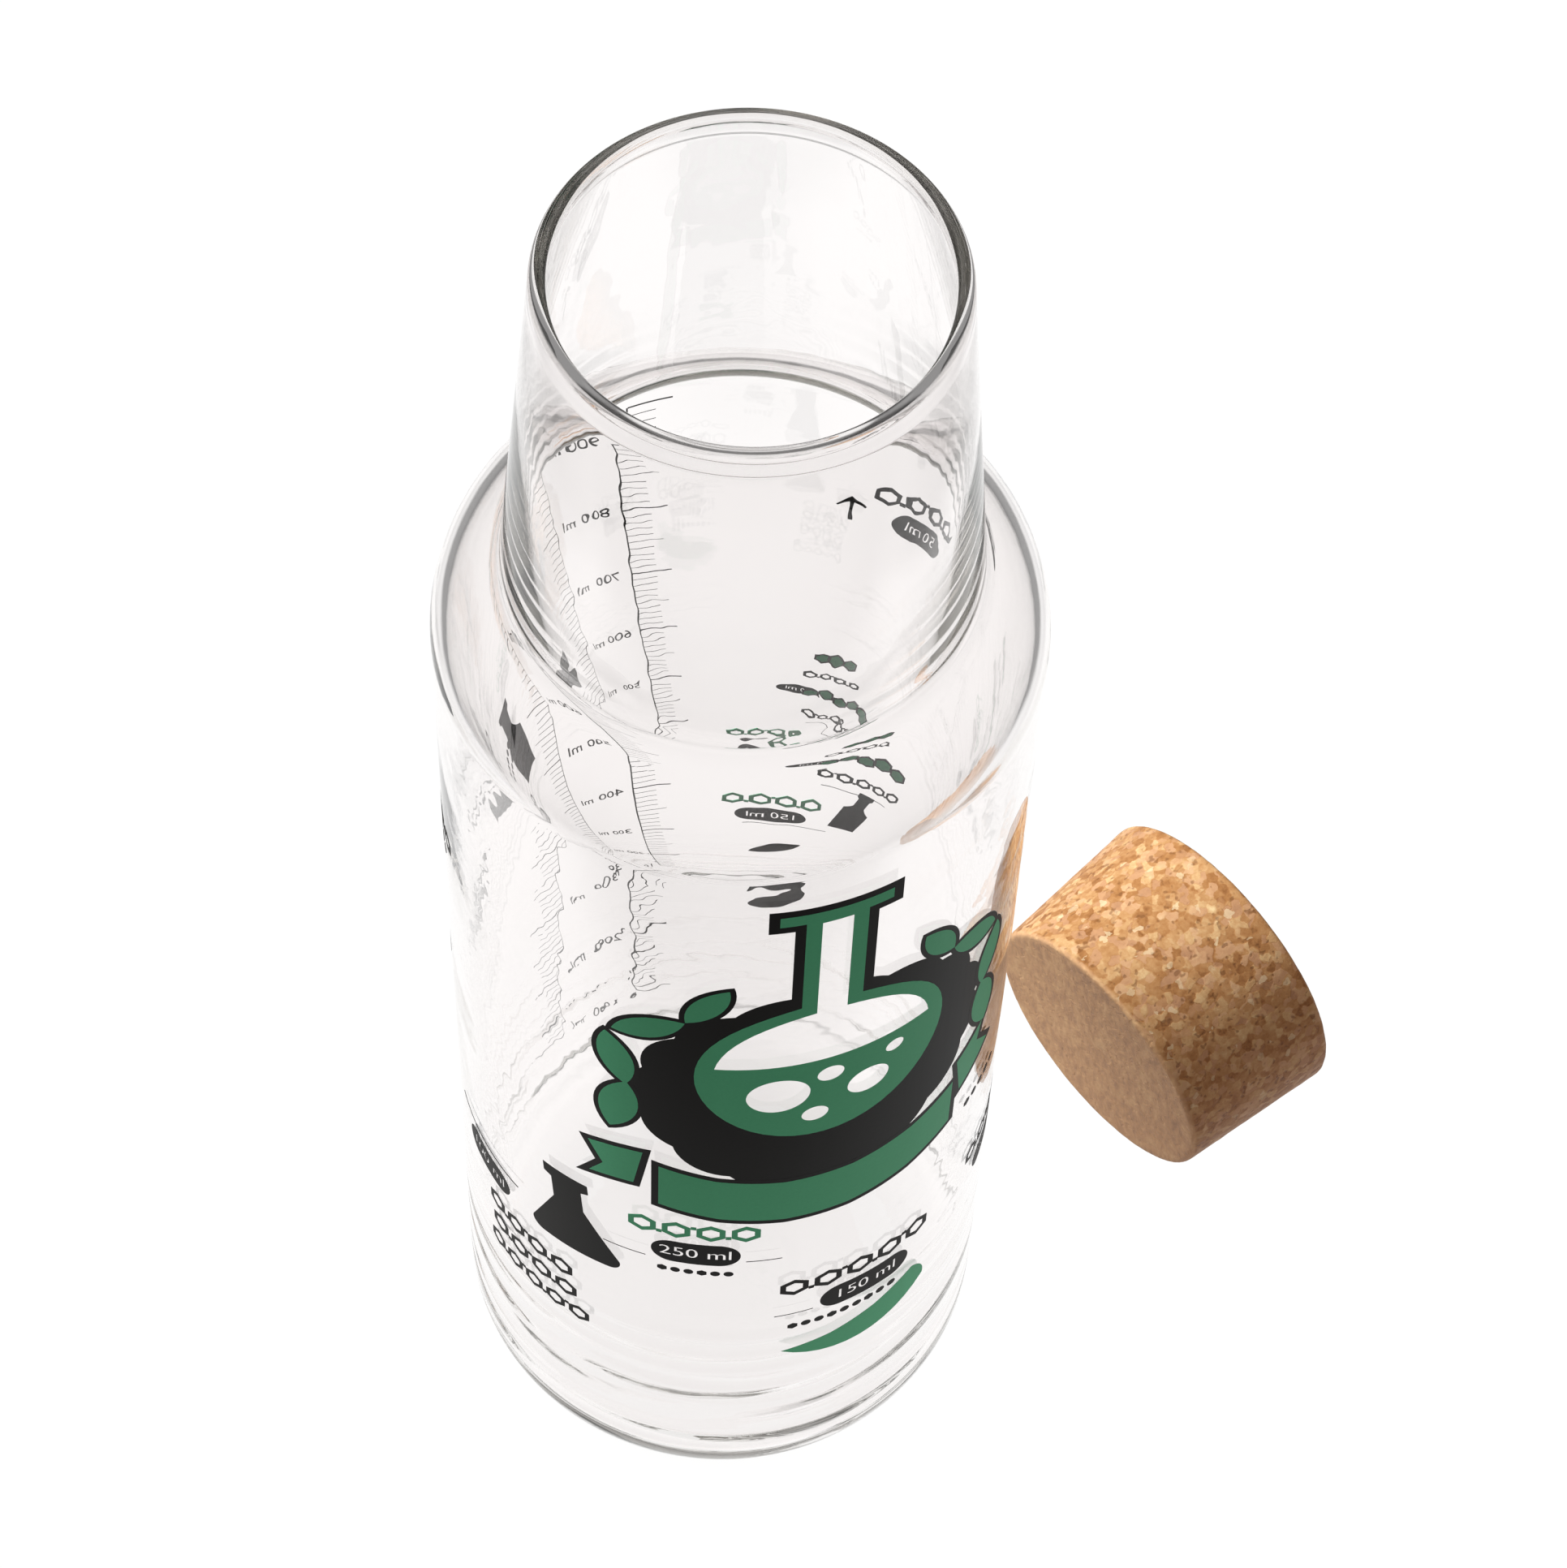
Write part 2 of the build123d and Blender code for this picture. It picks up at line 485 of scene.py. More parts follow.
# %% Clear glass
long_swell = 0.30
short_swell = 0.020
swells_per_metre = 38
short_swells_per_metre = 190
ring_depth = 1.0
ring_pitch = 5.0 * mm
ring_waver = 24
ring_top = 70 * mm
ring_full = 30 * mm
clear = bpy.data.materials.new("clear_glass")
board = Board(clear)
place = board.add("ShaderNodeTexCoord", output="Object")
swells = board.noise(place, swells_per_metre, 0.5)
short_swells = board.noise(place, short_swells_per_metre, 1)
flattened = board.add("ShaderNodeMapping", values={
    "Vector": place, "Scale": (ring_waver, ring_waver, 1 / ring_pitch)})
rings = board.noise(flattened, 1, 0)
level = board.add("ShaderNodeSeparateXYZ", values={0: place}, output="Z")
low_down = board.soft_step(level, ring_top, ring_full)
uneven = swells * long_swell + short_swells * short_swell + rings * low_down * ring_depth
ripple = board.add("ShaderNodeBump", values={"Height": uneven, "Strength": 1.0, "Distance": mm})
shader = board.add("ShaderNodeBsdfPrincipled", values={
    "Base Color": (0.99, 0.972, 0.968, 1),
    "Roughness": 0.0,
    "IOR": 1.47,
    "Transmission Weight": 1.0,
    "Normal": ripple,
})
tint = board.add("ShaderNodeVolumeAbsorption", values={"Color": (0.845, 0.835, 0.815, 1), "Density": 24.0})
board.add("ShaderNodeOutputMaterial", values={"Surface": shader, "Volume": tint})
glass.data.materials.append(clear)
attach(glass, "bottle")
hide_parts("glass_bottle")
print("the glass is uneven by three noises, made with", len(clear.node_tree.nodes), "nodes")

# %% [markdown]
# The stopper is a truncated cone of pressed cork: granules of bark, glued and pressed into a block.
# It is turned like the glass, from half of its section. Its edges are only a little rounded.
# It is drawn standing on its small end, and laid down beside the bottle afterwards.
# Its flat ends and its side get many rows of faces, because its skin is roughened in the next step.

# %% Turn the cork
stopper_length = 28.6 * mm
stopper_lead = 0.75 * mm
stopper_grip = 1.55 * mm
stopper_edge = 1.0 * mm
small_end = mouth_radius - stopper_lead
large_end = mouth_radius + stopper_grip
tip = atan2(stopper_lead + stopper_grip, stopper_length)
edge_shift = stopper_edge * tan(tip)
edge_inset = stopper_edge / cos(tip)
low_edge = (small_end + edge_shift - edge_inset, stopper_edge)
high_edge = (large_end - edge_shift - edge_inset, stopper_length - stopper_edge)

pencil = Outline("pressed_cork", 0, 0)
pencil.line(low_edge[0], 0, steps=34)
pencil.arc(low_edge, pi / 2 - tip, steps=4)
pencil.line(*round_from(high_edge, stopper_edge, -tip), steps=52)
pencil.arc(high_edge, pi / 2 + tip, steps=4)
pencil.line(0, stopper_length, steps=34)
cork = pencil.turn(segments=300)
print("cork has", len(cork.data.polygons), "faces")

# %% [markdown]
# Pressed cork is not smooth. A displacement by two cloud textures raises and sinks the skin a little,
# so that the outline and the highlights break up as they do on the real thing.
# The coarse clouds are wide shallow dents, and the fine ones are single granules.
# Modifiers are used again later, so adding one, setting it and applying it is a function.

# %% Roughen its skin
granule_size = 1.6 * mm
granule_depth = 0.10 * mm
dent_size = 6 * mm
dent_depth = 0.07 * mm
unmoved = 0.6


def modify(piece, kind, **settings):
    """Add a modifier to a piece, give it its settings, and apply it."""
    bpy.context.view_layer.objects.active = piece
    bpy.ops.object.modifier_add(type=kind)
    modifier = piece.modifiers[-1]
    for name, value in settings.items():
        setattr(modifier, name, value)
    bpy.ops.object.modifier_apply(modifier=modifier.name)


def roughen(piece, name, size, depth):
    """Push the surface in and out along its normals by a cloud texture whose clouds have this size."""
    clouds = bpy.data.textures.new(name, "CLOUDS")
    clouds.noise_scale = size
    clouds.noise_depth = 1
    modify(piece, "DISPLACE", texture=clouds, texture_coords="LOCAL", mid_level=unmoved, strength=depth)


roughen(cork, "granules", granule_size, granule_depth)
roughen(cork, "dents", dent_size, dent_depth)
print("cork is now", round(max(v.co.z for v in cork.data.vertices) / mm, 2), "mm high")

# %% [markdown]
# A cone that lies on its side touches the table along one straight line, so its axis tips up by its taper.
# The middle of its small end is at a bearing and a distance from the bottle.
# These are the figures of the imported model, whose solid the cork has to cover.

# %% Lay it down beside the bottle
stopper_gap = 27.0 * mm
stopper_bearing = radians(24.7)
stopper_turn = radians(41.4)
reach = body_radius + stopper_gap
cork_place = Vector((reach * cos(stopper_bearing), reach * sin(stopper_bearing), small_end * cos(tip)))
cork_side = Vector((sin(stopper_turn), -cos(stopper_turn), 0))
cork_axis = Vector((cos(tip) * cos(stopper_turn), cos(tip) * sin(stopper_turn), sin(tip)))
cork_frame = Matrix((cork_side, cork_axis.cross(cork_side), cork_axis)).transposed()
cork.matrix_world = Matrix.Translation(cork_place) @ cork_frame.to_4x4()
bpy.ops.object.transform_apply(location=True, rotation=True, scale=True)
print("cork's lowest point is at", round(min(v.co.z for v in cork.data.vertices) / mm, 2), "mm")

# %% [markdown]
# The colour of pressed cork is laid on in steps, all in the cork's own directions, so a Mapping node
# first turns the pattern to the way the cork lies. Two short functions give what the steps are made of:
# granules are the cells of a Voronoi texture with soft borders, and grain is plain noise.
# A small wobble keeps the cells from looking like tiles.

# %% Patterns of pressed cork
cell_size = 1.45 * mm
wobbles_per_metre = 700
wobble_reach = 1.5 * mm
pressed = bpy.data.materials.new("pressed_cork")
board = Board(pressed)
place = board.add("ShaderNodeTexCoord", output="Object")
own = board.add("ShaderNodeMapping", {"vector_type": "TEXTURE"}, {
    "Vector": place, "Location": cork_place, "Rotation": cork_frame.to_euler()})
wobble = board.noise(own, wobbles_per_metre, output="Color")
warped = board.add("ShaderNodeVectorMath", {"operation": "MULTIPLY_ADD"}, {
    0: wobble, 1: (wobble_reach,) * 3, 2: own})


def granules(size, smooth, channel):
    """One random value for each granule of about this size, blended at the borders."""
    cells = board.add("ShaderNodeTexVoronoi", {"feature": "SMOOTH_F1"}, {
        "Vector": warped, "Scale": 1 / size, "Smoothness": smooth}, output="Color")
    return board.add("ShaderNodeSeparateColor", values={0: cells}, output=channel)


def grain(per_metre, detail=2, vector=None):
    """Fairly rough noise, in the cork's own directions where no others are given."""
    return board.noise(vector or own, per_metre, detail, 0.6)


print("cork is made of granules about", round(cell_size / mm, 2), "mm across")

# %% [markdown]
# Each granule has a brown of its own, from one random value. Fine grain runs over it, and slow clouds
# make wide parts of the cork a little lighter or darker. Some granules are rosier than the rest.
# Then come dark specks of bark and a few pale flecks, which are granules of the palest cork.

# %% Colours of the cork's side
soft_border = 0.3
fine_grain = 1100
slow_clouds = 150
bark_grain = 760
fleck_size = 1.2 * mm
rosy_brown = (0.56, 0.29, 0.17, 1)
bark_brown = (0.17, 0.062, 0.022, 1)
pale_brown = (0.80, 0.60, 0.38, 1)
rosy_share = 0.4
bark_share = 0.6
pale_share = 0.38
own_brown = granules(cell_size, soft_border, "Red")
shade = own_brown * 0.55 + grain(fine_grain, 3) * 0.6 + grain(slow_clouds) * 0.4 - 0.30
browns = board.add("ShaderNodeValToRGB", {"stops": [
    (0.0, (0.18, 0.058, 0.017)),
    (0.3, (0.35, 0.142, 0.049)),
    (0.55, (0.45, 0.212, 0.086)),
    (0.8, (0.57, 0.32, 0.15)),
    (1.0, (0.72, 0.50, 0.27)),
]}, {0: shade})
rosy_cells = board.soft_step(granules(cell_size, soft_border, "Green"), 0.6, 0.8) * rosy_share
rosy = board.blend(rosy_cells, browns, rosy_brown)
specks = board.soft_step(grain(bark_grain, 1), 0.60, 0.72) * bark_share
speckled = board.blend(specks, rosy, bark_brown)
flecks = board.soft_step(granules(fleck_size, 0.25, "Blue"), 0.93, 0.99) * pale_share
flecked = board.blend(flecks, speckled, pale_brown)
print("side of the cork is made by", len(pressed.node_tree.nodes), "nodes so far")

# %% [markdown]
# The small end was ground flat, so its granules are smeared into short streaks of closer tones.
# The streaks are grain on coordinates that are squeezed along one direction of the end.
# A soft step along the cork's axis changes from the ground end to the side, just at the rounded edge.

# %% The ground end, and the shader
streak_squeeze = (1, 0.35, 1)
streak_turn = (0, 0, 0.6)
streak_grain = 800
ground_clouds = 120
ground_end = 0.1 * mm
side_start = 0.9 * mm
pit_depth = 0.25 * mm
streaked = board.add("ShaderNodeMapping", values={
    "Vector": own, "Scale": streak_squeeze, "Rotation": streak_turn})
ground_shade = grain(streak_grain, 3, streaked) * 1.3 + grain(ground_clouds, 3) * 0.9 - 0.6
ground = board.add("ShaderNodeValToRGB", {"stops": [
    (0.1, (0.44, 0.22, 0.12)),
    (0.5, (0.62, 0.315, 0.155)),
    (0.9, (0.76, 0.43, 0.215)),
]}, {0: ground_shade})
along = board.add("ShaderNodeSeparateXYZ", values={0: own}, output="Z")
skin_colour = board.blend(board.soft_step(along, ground_end, side_start), ground, flecked)
pits = board.add("ShaderNodeBump", values={
    "Height": shade - specks, "Strength": 0.35, "Distance": pit_depth})
shader = board.add("ShaderNodeBsdfPrincipled", values={
    "Base Color": skin_colour,
    "Roughness": 0.55,
    "Specular IOR Level": 0.15,
    "Normal": pits,
})
board.add("ShaderNodeOutputMaterial", values={"Surface": shader})
cork.data.materials.append(pressed)
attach(cork, "stopper")
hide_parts("cork_stopper")
print("cork's colour is made by", len(pressed.node_tree.nodes), "nodes")

# %% [markdown]
# Everything on the outside of the body is ink in two colours, black and green, fired onto the glass.
# A print is drawn flat first, on a sheet in the XZ plane whose width is the way round the bottle.
# A place on the sheet is an angle from the front, positive to the right, and a height above the table.
# Each closed outline is filled and gets a thickness. Half of it lies in the glass,
# so that no air is left between the two and the ink shows from both sides, as fired ink does.
# Green is the thicker ink, because it was printed over the black.

# %% Flat shapes of ink
black_depth = 0.07 * mm
under_depth = 1.2 * black_depth
green_depth = 0.10 * mm
cutter_depth = 4 * green_depth
black = []
green = []


def around(angle):
    """The way round the body, from the front to an angle in degrees."""
    return radians(angle) * body_radius


def beside(angle, distance):
    """The angle of a place that lies this many mm to the right of another angle."""
    return angle + degrees(distance * mm / body_radius)


def flat(name, strokes, angle, height, scale=1, tilt=0):
    """Draw a closed outline from strokes of (x, z, bow) in mm: bow is the arc's angle in degrees."""
    turned = Matrix.Rotation(radians(tilt), 2) * (scale * mm)
    places = [turned @ Vector(stroke[:2]) + Vector((around(angle), height * mm)) for stroke in strokes]
    pen = Outline(name, *places[0])
    for place, stroke in zip(places[1:] + places[:1], strokes[1:] + strokes[:1]):
        pen.bow(place, radians(stroke[2]))
    bpy.ops.mesh.select_all(action="SELECT")
    bpy.ops.mesh.remove_doubles(threshold=weld)
    bpy.ops.mesh.edge_face_add()
    bpy.ops.object.mode_set(mode="OBJECT")
    return pen.piece


def thicken(piece, depth):
    """Give a flat shape its thickness, half on each side of the sheet, with its faces outwards."""
    modify(piece, "SOLIDIFY", thickness=depth, offset=0)
    bpy.ops.object.mode_set(mode="EDIT")
    bpy.ops.mesh.select_all(action="SELECT")
    bpy.ops.mesh.normals_make_consistent(inside=False)
    bpy.ops.object.mode_set(mode="OBJECT")
    return piece


print("a degree round the body is", round(around(1) / mm, 3), "mm")

# %% [markdown]
# Three more things can be done with such a shape. It cuts a hole into another, or is joined to it,
# by a Boolean. Or a flat one is inset, and either its rim or what is inside the rim is thrown away.
# And a shape in both inks is black, with the same shape in green on it, inset by a rim.

# %% Holes, rims and two inks
outline_rim = 1.1 * mm


def cut(piece, cutter, operation="DIFFERENCE"):
    """Take a thicker shape away from a thickened one, or join the two into one. The cutter is used up."""
    modify(piece, "BOOLEAN", operation=operation, object=cutter)
    bpy.data.objects.remove(cutter)


def split(piece, rim, loss):
    """Inset a flat shape by a rim, and lose the rim (INVERT) or keep nothing else (SELECT)."""
    bpy.context.view_layer.objects.active = piece
    bpy.ops.object.mode_set(mode="EDIT")
    bpy.ops.mesh.select_mode(type="FACE")
    bpy.ops.mesh.select_all(action="SELECT")
    bpy.ops.mesh.inset(thickness=rim)
    if loss == "INVERT":
        bpy.ops.mesh.select_all(action="INVERT")
    bpy.ops.mesh.delete(type="FACE")
    bpy.ops.mesh.select_mode(type="VERT")
    bpy.ops.object.mode_set(mode="OBJECT")
    return piece


def outlined(name, strokes, angle, height, scale=1, tilt=0, rim=outline_rim):
    """A black shape with the same shape in green on it, inset by a rim."""
    black.append(thicken(flat(name, strokes, angle, height, scale, tilt), under_depth))
    inner = split(flat(name, strokes, angle, height, scale, tilt), rim, "INVERT")
    green.append(thicken(inner, green_depth))


print("a rim of black is", round(outline_rim / mm, 2), "mm wide")

# %% [markdown]
# The emblem is a plain still life from a chemist's shelf: a round flask with a green liquid and bubbles,
# on a black badge with a scalloped edge, with a wreath of leaves round it and an empty ribbon below.
# The air in the flask and the bubbles are holes in the ink, so the glass shows through them.

# %% Outlines of the emblem
badge_radius = 27
scallops = 15
scallop_bow = 75
liquid_level = 2.5


def round_flask(bulb, neck_half, top, lip_reach, lip_tall):
    """Outline of a round flask: round the bulb, up the neck and across the lip."""
    rise = (bulb**2 - neck_half**2) ** 0.5
    turn = 360 - 2 * degrees(atan2(neck_half, rise))
    wide = neck_half + lip_reach
    return [(-neck_half, rise, 0), (neck_half, rise, turn), (neck_half, top, 0), (wide, top, 0),
            (wide, top + lip_tall, 0), (-wide, top + lip_tall, 0), (-wide, top, 0), (-neck_half, top, 0)]


def air_in_flask(bulb, neck_half, top, level):
    """Outline of the space between the liquid and the mouth."""
    wide = (bulb**2 - level**2) ** 0.5
    rise = (bulb**2 - neck_half**2) ** 0.5
    turn = degrees(atan2(rise, neck_half) - atan2(level, wide))
    return [(-wide, level, turn), (wide, level, 0), (neck_half, rise, turn), (neck_half, top, 0),
            (-neck_half, top, 0), (-neck_half, rise, 0)]


badge = []
for scallop in range(scallops):
    turn = 2 * pi * scallop / scallops
    badge.append((badge_radius * cos(turn), badge_radius * sin(turn), scallop_bow))
bubble = [(-1, 0, 0), (1, 0, 180), (-1, 0, 180)]
outer_flask = round_flask(bulb=20.5, neck_half=5.9, top=39.5, lip_reach=3.6, lip_tall=5.4)
inner_flask = round_flask(bulb=19, neck_half=4.4, top=41, lip_reach=3.6, lip_tall=2.4)
air = air_in_flask(bulb=16.4, neck_half=2.2, top=40.5, level=liquid_level)
print("badge has", len(badge), "scallops")

# %% [markdown]
# The black is one piece: the badge joined with the flask's outline, less a window for the green.
# The green flask stands in that window and loses its air and its bubbles.

# %% The badge and the flask
emblem_angle = 20
flask_height = 139
badge_height = 133
bubbles = [(-7, -6, 4.6), (6.5, -8, 3.3), (0.5, -2.2, 2.0), (10.5, -1.6, 1.5), (-1.5, -13, 2.0)]
badge_ink = thicken(flat("badge", badge, emblem_angle, badge_height), black_depth)
flask_edge = thicken(flat("flask_edge", outer_flask, emblem_angle, flask_height), black_depth)
cut(badge_ink, flask_edge, "UNION")
flask_window = thicken(flat("window", inner_flask, emblem_angle, flask_height), cutter_depth)
cut(badge_ink, flask_window)
flask_ink = thicken(flat("flask", inner_flask, emblem_angle, flask_height), green_depth)
holes = [thicken(flat("air", air, emblem_angle, flask_height), cutter_depth)]
for x, z, size in bubbles:
    spot = beside(emblem_angle, x)
    holes.append(thicken(flat("hole", bubble, spot, flask_height + z, size), cutter_depth))
for hole in holes:
    cut(flask_ink, hole)
black.append(badge_ink)
green.append(flask_ink)
print("badge has", len(badge_ink.data.polygons), "faces and the flask", len(flask_ink.data.polygons))

# %% [markdown]
# The wreath is one leaf, an outline of two arcs, set eight times round the badge and leaning in turn
# to one side and the other. The ribbon is a bowed band with a notched tail at each end.
# Their places are worked out from the badge's middle, so the emblem can be moved as one.

# %% The wreath and the ribbon
leaf = [(0, -1, 0), (0, 1, 95), (0, -1, 95)]
ribbon = [(-25, 0, 0), (25, 0, 38), (25, 14, 0), (-25, 14, -38)]
ribbon_tail = [(-1, 0, 0), (10, 4.5, 12), (6.5, 10, 0), (9, 16.5, 0), (-1, 12.5, -12)]
wreath_radius = 31
leaf_swings = (-14, 11, 34, 56)
leaf_lean = 24
first_leaf = 8.6
leaf_shrink = 0.6
leaf_rim = 0.8 * mm
ribbon_drop = 35.5
tail_reach = 26
tails = [(1, 29.5, 8), (-1, 18.5, 172)]
for side in (-1, 1):
    for order, swing in enumerate(leaf_swings):
        x = side * wreath_radius * cos(radians(swing))
        z = wreath_radius * sin(radians(swing))
        lean = side * (swing - leaf_lean if order % 2 else swing + leaf_lean)
        size = first_leaf - leaf_shrink * order
        outlined("leaf", leaf, beside(emblem_angle, x), badge_height + z, size, lean, leaf_rim)
outlined("ribbon", ribbon, emblem_angle, badge_height - ribbon_drop)
for side, tail_drop, tilt in tails:
    spot = beside(emblem_angle, side * tail_reach)
    outlined("ribbon_tail", ribbon_tail, spot, badge_height - tail_drop, 1, tilt)
print("emblem has", len(black), "black and", len(green), "green shapes")

# %% [markdown]
# Round the body run small marks: chains of rings as in a drawing of a molecule, pills with a plain amount,
# thin lines, dots and a few icons. They repeat, so each kind is one short function.
# The icons are outlines in mm, drawn from their foot: a third number bows the stroke to that point.

# %% Icons and lines
hexagon = [(sin(radians(turn)), cos(radians(turn)), 0) for turn in range(0, 360, 60)]
conical_flask = [
    (-5.6, 0, 0), (5.6, 0, 0), (7.4, 3, 125), (2.6, 13.5, 0), (2.6, 19, 0), (3.9, 19.6, 0), (3.9, 22, 0),
    (-3.9, 22, 0), (-3.9, 19.6, 0), (-2.6, 19, 0), (-2.6, 13.5, 0), (-7.4, 3, 0), (-5.6, 0, 125),
]
vial = [
    (-3, 0, 0), (3, 0, 0), (3, 10, 0), (1.3, 12.5, -40), (1.3, 16, 0), (1.8, 16.6, 0), (1.8, 18, 0),
    (-1.8, 18, 0), (-1.8, 16.6, 0), (-1.3, 16, 0), (-1.3, 12.5, 0), (-3, 10, -40),
]
pod = [(-13, 3.5, 0), (13, 5, 84), (10.5, 10.8, 70), (-13, 3.5, -22)]
arrow = [(-0.25, 0, 0), (0.25, 0, 0), (0.25, 5, 0), (2, 3.4, 0), (2.3, 3.8, 0), (0, 6.2, 0), (-2.3, 3.8, 0),
         (-2, 3.4, 0), (-0.25, 5, 0)]


def mark(strokes, angle, height, scale=1, tilt=0, ink=None, depth=None):
    """One solid shape of ink, black where nothing else is said."""
    piece = thicken(flat("mark", strokes, angle, height, scale, tilt), depth or black_depth)
    (black if ink is None else ink).append(piece)


def bar(left, right, height, thickness, depth=None):
    """A thin level line between two angles, in degrees and mm."""
    wide = (around(right) - around(left)) / mm
    half = thickness / 2
    mark([(0, -half, 0), (wide, -half, 0), (wide, half, 0), (0, half, 0)], left, height, depth=depth)


print("the conical flask is", max(stroke[1] for stroke in conical_flask), "mm tall")

# %% [markdown]
# A chain is a row of hexagonal rings with small square links between them, in turn low and high.
# A row of dots has a slightly larger six-sided one at every third place.
# Both are centred on their angle, so their number can be changed without moving them.

# %% Chains and dots
ring_rim = 0.36
link = [(-0.17, -0.17, 0), (0.17, -0.17, 0), (0.17, 0.17, 0), (-0.17, 0.17, 0)]
link_gap = 0.36
link_rise = 0.5
dot_pitch = 2.7
large_dot = 1.15


def chain(angle, height, count, size, ink=None):
    """A row of hexagonal rings, joined by short links, in the middle of its angle."""
    pitch = beside(0, (2 * cos(radians(30)) + link_gap) * size)
    first = angle - pitch * (count - 1) / 2
    depth = green_depth if ink is green else black_depth
    for order in range(count):
        centre = first + order * pitch
        ring = split(flat("ring", hexagon, centre, height, size), ring_rim * size * mm, "SELECT")
        (black if ink is None else ink).append(thicken(ring, depth))
        if order:
            link_height = height + link_rise * size * (-1) ** order
            mark(link, centre - pitch / 2, link_height, size, 0, ink, depth)


def dots(angle, height, count, size):
    """A row of dots in the middle of its angle."""
    pitch = beside(0, dot_pitch * size)
    for order in range(count):
        spot = angle + (order - (count - 1) / 2) * pitch
        if order % 3:
            mark(bubble, spot, height, size)
        else:
            mark(hexagon, spot, height, size * large_dot)


print("links are", link_gap, "of a ring's size wide")

# %% [markdown]
# Numbers are text objects made into meshes. They are welded, since a letter's front, back and side
# come as separate faces, and a pill's number is cut out of its black, so that it is clear glass.

# %% Numbers and pills
letter_weld = 0.002 * mm
letter_share = 0.62
curve_steps = 4


def lettering(amount, angle, height, size, depth):
    """A plain number as a solid shape, standing in the sheet."""
    bpy.ops.object.select_all(action="DESELECT")
    bpy.ops.object.text_add(location=(around(angle), 0, height * mm), rotation=(pi / 2, 0, 0))
    text = bpy.context.object
    text.data.body = amount
    text.data.size = size * mm
    text.data.align_x = "CENTER"
    text.data.align_y = "CENTER"
    text.data.extrude = depth / 2
    text.data.resolution_u = curve_steps
    bpy.ops.object.convert(target="MESH")
    bpy.ops.object.transform_apply(location=True, rotation=True, scale=True)
    piece = bpy.context.object
    bpy.ops.object.mode_set(mode="EDIT")
    bpy.ops.mesh.select_all(action="SELECT")
    bpy.ops.mesh.remove_doubles(threshold=letter_weld)
    bpy.ops.mesh.normals_make_consistent(inside=False)
    bpy.ops.object.mode_set(mode="OBJECT")
    return piece


def pill(angle, height, width, tall, amount):
    """A black pill with an amount left out of it, so that the number is clear glass."""
    half = (width - tall) / 2
    shape = [(-half, -tall / 2, 180), (half, -tall / 2, 0), (half, tall / 2, 180), (-half, tall / 2, 0)]
    body_ink = thicken(flat("pill", shape, angle, height), black_depth)
    number = lettering(amount, angle, height, letter_share * tall, 4 * black_depth)
    cut(body_ink, number)
    black.append(body_ink)


print("a number is", letter_share, "of its pill's height")

# %% [markdown]
# The marks in front and at the sides stand low on the body, under the emblem.
# Each line gives a mark its angle from the front and its height in mm, and then its size.

# %% Marks in front and at the sides
chain(-5.5, 90.8, 4, 2.5, green)
pill(-5, 83.6, 13.6, 6.6, "250 ml")
bar(-25, -15.5, 80.4, 0.16)
bar(5.5, 13, 81.6, 0.16)
dots(-5, 77.6, 6, 0.75)
mark(conical_flask, -32, 71.5, 1.05, 4)

chain(31, 70.5, 5, 2.6)
pill(33, 63.2, 16, 6.6, "150 ml")
bar(12, 20.5, 61.4, 0.16)
dots(28, 57, 9, 0.8)
mark(pod, 32, 45.5, 1, 2, green, green_depth)

chain(-46, 63, 4, 2.4)
chain(-45, 56.5, 4, 2.4)
chain(-44, 50, 5, 2.2)
pill(-60, 72, 13, 6, "100 ml")
bar(-74, -48, 77, 0.3)
dots(66, 96, 5, 0.8)
chain(76, 72, 4, 2.2)
pill(77, 65, 12, 5.6, "50 ml")
print("so far there are", len(black), "black and", len(green), "green shapes")

# %% [markdown]
# The marks at the back stand higher, where the picture shows them through the neck and the shoulder.
# The glass bends them out of shape there, so they are drawn larger than they look.

# %% Marks at the back
cell_rim = 0.45 * mm
wide_cell_rim = 0.5 * mm
mark(vial, -119, 113, 1.5, -8)
dots(-105, 130, 5, 0.9)
dots(-105, 126, 4, 0.9)
chain(-84, 150, 4, 2.2)
dots(-84, 144, 5, 0.8)
pill(-95, 104, 13, 6, "100 ml")
chain(-95, 110, 4, 2.2)

chain(140, 176, 4, 2.6)
pill(139.5, 169, 13.6, 6.4, "50 ml")
mark(arrow, 159, 167, 1.1)
for order in range(3):
    outlined("cell", hexagon, 159 - 4.6 * order, 118, 2.0, 0, cell_rim)
chain(154, 111, 4, 1.7)
for order in range(5):
    outlined("cell", hexagon, 160 - 5.2 * order, 102 + order % 2, 2.3, 0, wide_cell_rim)
chain(149, 93.5, 5, 1.8)
bar(140, 160, 89, 0.16)
pill(164, 103, 9, 3.6, "10 ml")
chain(171, 80, 4, 2.2, green)
pill(171, 73.6, 13, 5.6, "150 ml")
mark(vial, 152, 72, 1, 12)
mark(leaf, 169, 55, 6, 60)
bar(156, 178, 69.5, 0.16)
print("there are now", len(black), "black and", len(green), "green shapes")

# %% [markdown]
# A measure in millilitres runs up the back: two upright lines with marks every 10 ml, and numbers between.
# The inside of the body is a cylinder, so equal volumes are equal heights: 10 ml is about 2 mm.
# One short mark is drawn, and an array repeats it from the top of the measure down to its foot.

# %% Marks of the measure
top_volume = 900
foot_volume = 100
top_mark = 188.3
millilitre = 1000 / (pi * (inner_radius / mm) ** 2)


def mark_height(volume):
    """Height of a volume's mark, in mm."""
    return top_mark - (top_volume - volume) * millilitre


